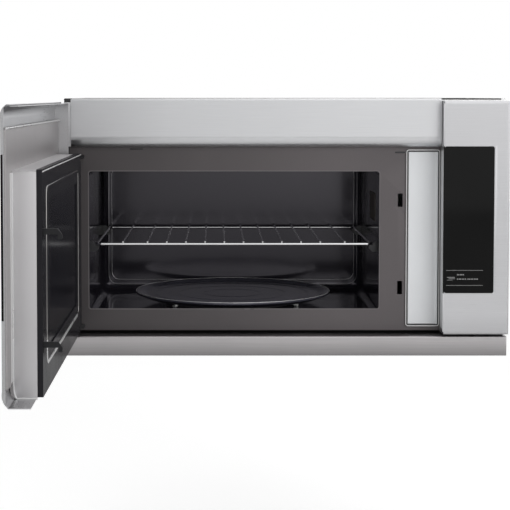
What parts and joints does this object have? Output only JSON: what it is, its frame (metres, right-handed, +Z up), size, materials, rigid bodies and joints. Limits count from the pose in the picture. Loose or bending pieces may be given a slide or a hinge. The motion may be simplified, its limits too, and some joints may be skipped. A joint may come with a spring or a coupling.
{
  "type": "over the range microwave",
  "caption": "Microwave oven and vent hood for mounting over a range, with a full-height side-hinged door open, a turntable, a wire rack and a hidden grip pocket.",
  "frame": {"origin": "middle of the width on the wall face, at the underside", "axes": "+Z up, +Y into the wall, +X to the right as seen from the kitchen"},
  "size_m": [0.775, 1.027, 0.44],
  "materials": {
    "aluminium_mesh": "satin",
    "black_case": "satin",
    "black_glass": "gloss",
    "black_gloss": "gloss",
    "black_plastic": "matt",
    "carbon": "matt",
    "chrome_wire": "gloss",
    "clear_glass": "gloss",
    "galvanised": "satin",
    "green_board": "satin",
    "grey_enamel": "gloss",
    "liner_metal": "satin",
    "mica": "matt",
    "smoked_glass": "gloss",
    "stainless": "brushed",
    "steel": "satin",
    "white_plastic": "matt"
  },
  "bodies": {
    "body": {"cavity": "grey_enamel", "front_plate": "grey_enamel", "outer_case": "black_case", "rear_panel": "black_case", "base_pan": "black_case", "bottom_strip": "stainless", "vent_band": "stainless", "control_bezel": "stainless", "control_glass": "black_glass", "control_board": "green_board", "board_posts": "white_plastic", "pocket_frame": "stainless", "grip_pad": "stainless", "hinge_bracket_upper": "black_case", "hinge_bracket_lower": "black_case", "interlock_bracket": "galvanised", "interlock_switches": "black_plastic", "rack_supports": "white_plastic", "waveguide": "galvanised", "waveguide_cover": "mica", "magnetron": "galvanised", "transformer": "steel", "capacitor": "steel", "fan_shroud": "galvanised", "fan_motor": "steel", "cavity_lamp": "clear_glass", "thermostat": "galvanised", "turntable_motor": "steel", "blower_housing": "galvanised", "blower_motor": "steel", "charcoal_filter": "carbon", "lamp_lenses": "clear_glass", "cooktop_lamps": "clear_glass", "cord_bush": "black_plastic", "cabinet_nuts": "galvanised"},
    "door": {"door_skin": "stainless", "door_glass": "black_glass", "door_liner": "liner_metal", "choke_box": "galvanised", "door_screen": "steel", "door_inner_cover": "black_gloss", "inner_window": "smoked_glass", "grip_end_panel": "stainless", "hinge_block_upper": "black_case", "hinge_block_lower": "black_case", "latch_spring": "steel"},
    "latch": {"latch_bar": "black_plastic"},
    "coupler": {"drive_coupler": "white_plastic"},
    "tray": {"turntable_tray": "smoked_glass"},
    "ring": {"roller_ring": "black_plastic"},
    "roller_a": {"roller_1": "white_plastic"},
    "roller_b": {"roller_2": "white_plastic"},
    "roller_c": {"roller_3": "white_plastic"},
    "rack": {"wire_rack": "chrome_wire"},
    "filter_left": {"grease_filter_left": "aluminium_mesh"},
    "filter_right": {"grease_filter_right": "aluminium_mesh"},
    "vent_rotor": {"blower_shaft": "steel", "blower_wheel_left": "black_plastic", "blower_wheel_right": "black_plastic"},
    "cooling_rotor": {"fan_wheel": "black_plastic"}
  },
  "joints": [
    {"name": "door_swing", "type": "hinge", "parent": "body", "child": "door", "pos_m": [-0.365, -0.396, 0.19], "axis": [0, 0, 1], "range_deg": [-4, 90]},
    {"name": "latch_lift", "type": "slide", "parent": "door", "child": "latch", "axis": [0, 0, 1], "range_m": [0, 0.006], "stiffness_N_per_m": 300, "deforming": ["latch_spring"]},
    {"name": "drive_spin", "type": "hinge", "parent": "body", "child": "coupler", "pos_m": [-0.0867, -0.194, 0.064], "axis": [0, 0, 1], "continuous": true},
    {"name": "tray_lift", "type": "slide", "parent": "coupler", "child": "tray", "axis": [0, 0, 1], "range_m": [0, 0.03]},
    {"name": "ring_spin", "type": "hinge", "parent": "body", "child": "ring", "pos_m": [-0.0867, -0.194, 0.068], "axis": [0, 0, 1], "continuous": true},
    {"name": "rack_lift", "type": "slide", "parent": "body", "child": "rack", "axis": [0, 0, 1], "range_m": [0, 0.03]},
    {"name": "filter_left_slide", "type": "slide", "parent": "body", "child": "filter_left", "axis": [-1, 0, 0], "range_m": [0, 0.012]},
    {"name": "filter_right_slide", "type": "slide", "parent": "body", "child": "filter_right", "axis": [1, 0, 0], "range_m": [0, 0.012]},
    {"name": "vent_rotor_spin", "type": "hinge", "parent": "body", "child": "vent_rotor", "pos_m": [0, -0.076, 0.378], "axis": [1, 0, 0], "continuous": true},
    {"name": "cooling_fan_spin", "type": "hinge", "parent": "body", "child": "cooling_rotor", "pos_m": [0.285, -0.05, 0.205], "axis": [0, 1, 0], "continuous": true},
    {"name": "roller_a_spin", "type": "hinge", "parent": "ring", "child": "roller_a", "pos_m": [0.02745, -0.24967, 0.068], "axis": [0.8988, -0.4384, 0], "continuous": true},
    {"name": "roller_b_spin", "type": "hinge", "parent": "ring", "child": "roller_b", "pos_m": [-0.09556, -0.06731, 0.068], "axis": [-0.0698, 0.9976, 0], "continuous": true},
    {"name": "roller_c_spin", "type": "hinge", "parent": "ring", "child": "roller_c", "pos_m": [-0.19199, -0.26502, 0.068], "axis": [-0.829, -0.5592, 0], "continuous": true}
  ],
  "couplings": [
    {"joint": "ring_spin", "follows": "drive_spin", "ratio": 0.5},
    {"joint": "roller_a_spin", "follows": "drive_spin", "ratio": -10.672},
    {"joint": "roller_b_spin", "follows": "drive_spin", "ratio": -10.672},
    {"joint": "roller_c_spin", "follows": "drive_spin", "ratio": -10.672}
  ]
}
